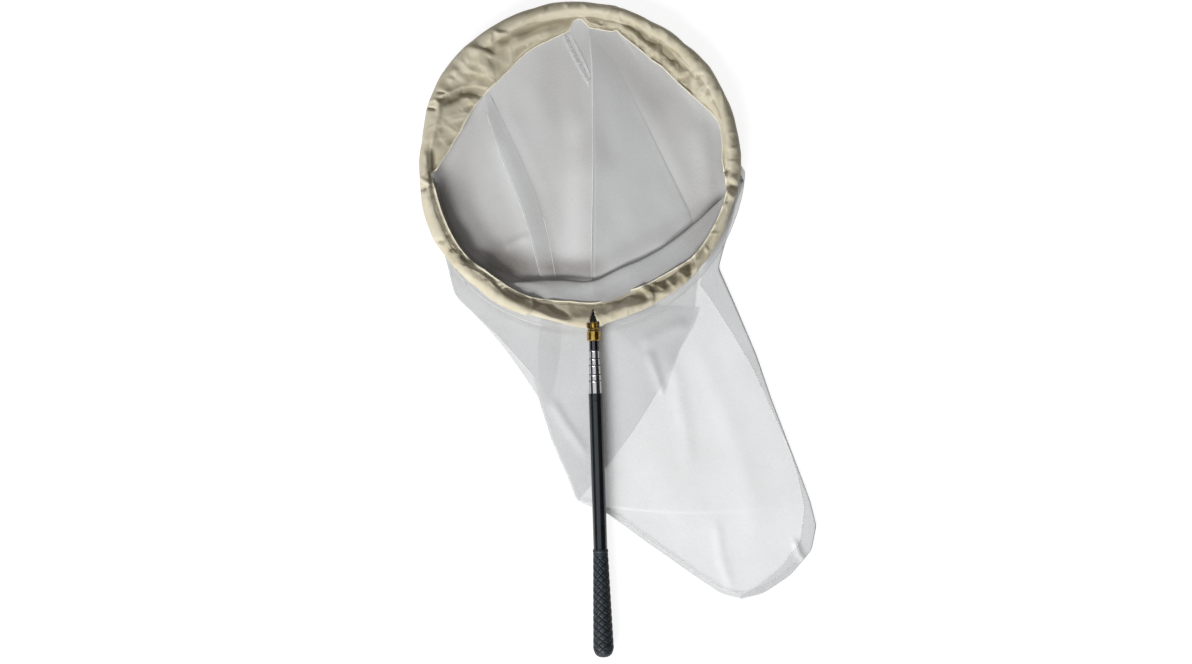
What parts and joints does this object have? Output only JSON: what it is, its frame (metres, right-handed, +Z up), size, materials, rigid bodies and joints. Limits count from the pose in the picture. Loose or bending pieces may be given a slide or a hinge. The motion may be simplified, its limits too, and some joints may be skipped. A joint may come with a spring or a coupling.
{
  "type": "insect net",
  "caption": "Hand net: round hoop with canvas collar, deep fine-mesh bag laid flat, and a telescopic handle with rubber grip.",
  "frame": {"origin": "bottom centre of the whole laid net's box, on the surface that it lies on", "axes": "+Z up; +Y along the handle from the grip towards the hoop; +X to the right with the hoop at the top"},
  "size_m": [0.4482, 0.754, 0.0239],
  "materials": {
    "spring_steel": "bright drawn wire",
    "black_plastic": "satin",
    "brass": "machined, polished",
    "steel_stud": "machined",
    "washer_rubber": "satin",
    "brass_socket": "turned, polished",
    "stainless_1": "polished stainless tube",
    "stainless_2": "polished stainless tube",
    "stainless_3": "polished stainless tube",
    "stainless_4": "polished stainless tube",
    "stainless_5": "polished stainless tube",
    "stainless_6": "polished stainless tube",
    "spring_brass": "rolled sheet",
    "black_tube": "satin black lacquer",
    "black_collar": "satin black",
    "plug_plastic": "moulded",
    "grip_rubber": "diamond chequered",
    "canvas": "unbleached cotton canvas",
    "canvas_skirt": "unbleached cotton canvas",
    "cotton_tape": "folded hem, stitched",
    "mesh_lower": "fine open voile",
    "mesh_upper": "fine open voile",
    "seam_tape": "overlocked seam"
  },
  "bodies": {
    "net_head": {"hoop_wire": "spring_steel", "neck_cone": "black_plastic", "ferrule": "brass", "threaded_stud": "steel_stud", "canvas_sleeve": "canvas", "canvas_skirt": "canvas_skirt", "mouth_tape": "cotton_tape", "bag_lower_panel": "mesh_lower", "bag_upper_panel": "mesh_upper", "bag_edge_seam": "seam_tape", "bag_centre_seam": "seam_tape"},
    "washer": {"thread_washer": "washer_rubber"},
    "stage_1": {"socket": "brass_socket", "stage_tube_1": "stainless_1", "friction_sleeve_1": "spring_brass"},
    "stage_2": {"stage_tube_2": "stainless_2", "friction_sleeve_2": "spring_brass"},
    "stage_3": {"stage_tube_3": "stainless_3", "friction_sleeve_3": "spring_brass"},
    "stage_4": {"stage_tube_4": "stainless_4", "friction_sleeve_4": "spring_brass"},
    "stage_5": {"stage_tube_5": "stainless_5", "friction_sleeve_5": "spring_brass"},
    "stage_6": {"stage_tube_6": "stainless_6", "friction_sleeve_6": "spring_brass"},
    "handle": {"outer_tube": "black_tube", "front_collar": "black_collar", "end_plug": "plug_plastic", "grip": "grip_rubber"}
  },
  "joints": [
    {"name": "thread_travel", "type": "slide", "parent": "net_head", "child": "washer", "axis": [0, -1, 0], "range_m": [0, 0.0125]},
    {"name": "thread_turn", "type": "hinge", "parent": "washer", "child": "stage_1", "pos_m": [-0.0268, -0.006, 0.012], "axis": [0, -1, 0], "range_deg": [0, 3601]},
    {"name": "draw_1", "type": "slide", "parent": "stage_1", "child": "stage_2", "axis": [0, -1, 0], "range_m": [0, 0.263]},
    {"name": "draw_2", "type": "slide", "parent": "stage_2", "child": "stage_3", "axis": [0, -1, 0], "range_m": [0, 0.254]},
    {"name": "draw_3", "type": "slide", "parent": "stage_3", "child": "stage_4", "axis": [0, -1, 0], "range_m": [0, 0.246]},
    {"name": "draw_4", "type": "slide", "parent": "stage_4", "child": "stage_5", "axis": [0, -1, 0], "range_m": [0, 0.235]},
    {"name": "draw_5", "type": "slide", "parent": "stage_5", "child": "stage_6", "axis": [0, -1, 0], "range_m": [0, 0.228]},
    {"name": "draw_6", "type": "slide", "parent": "stage_6", "child": "handle", "axis": [0, -1, 0], "range_m": [0, 0.211]}
  ],
  "couplings": [
    {"joint": "thread_turn", "follows": "thread_travel", "rad_per_m": 5026.5}
  ]
}
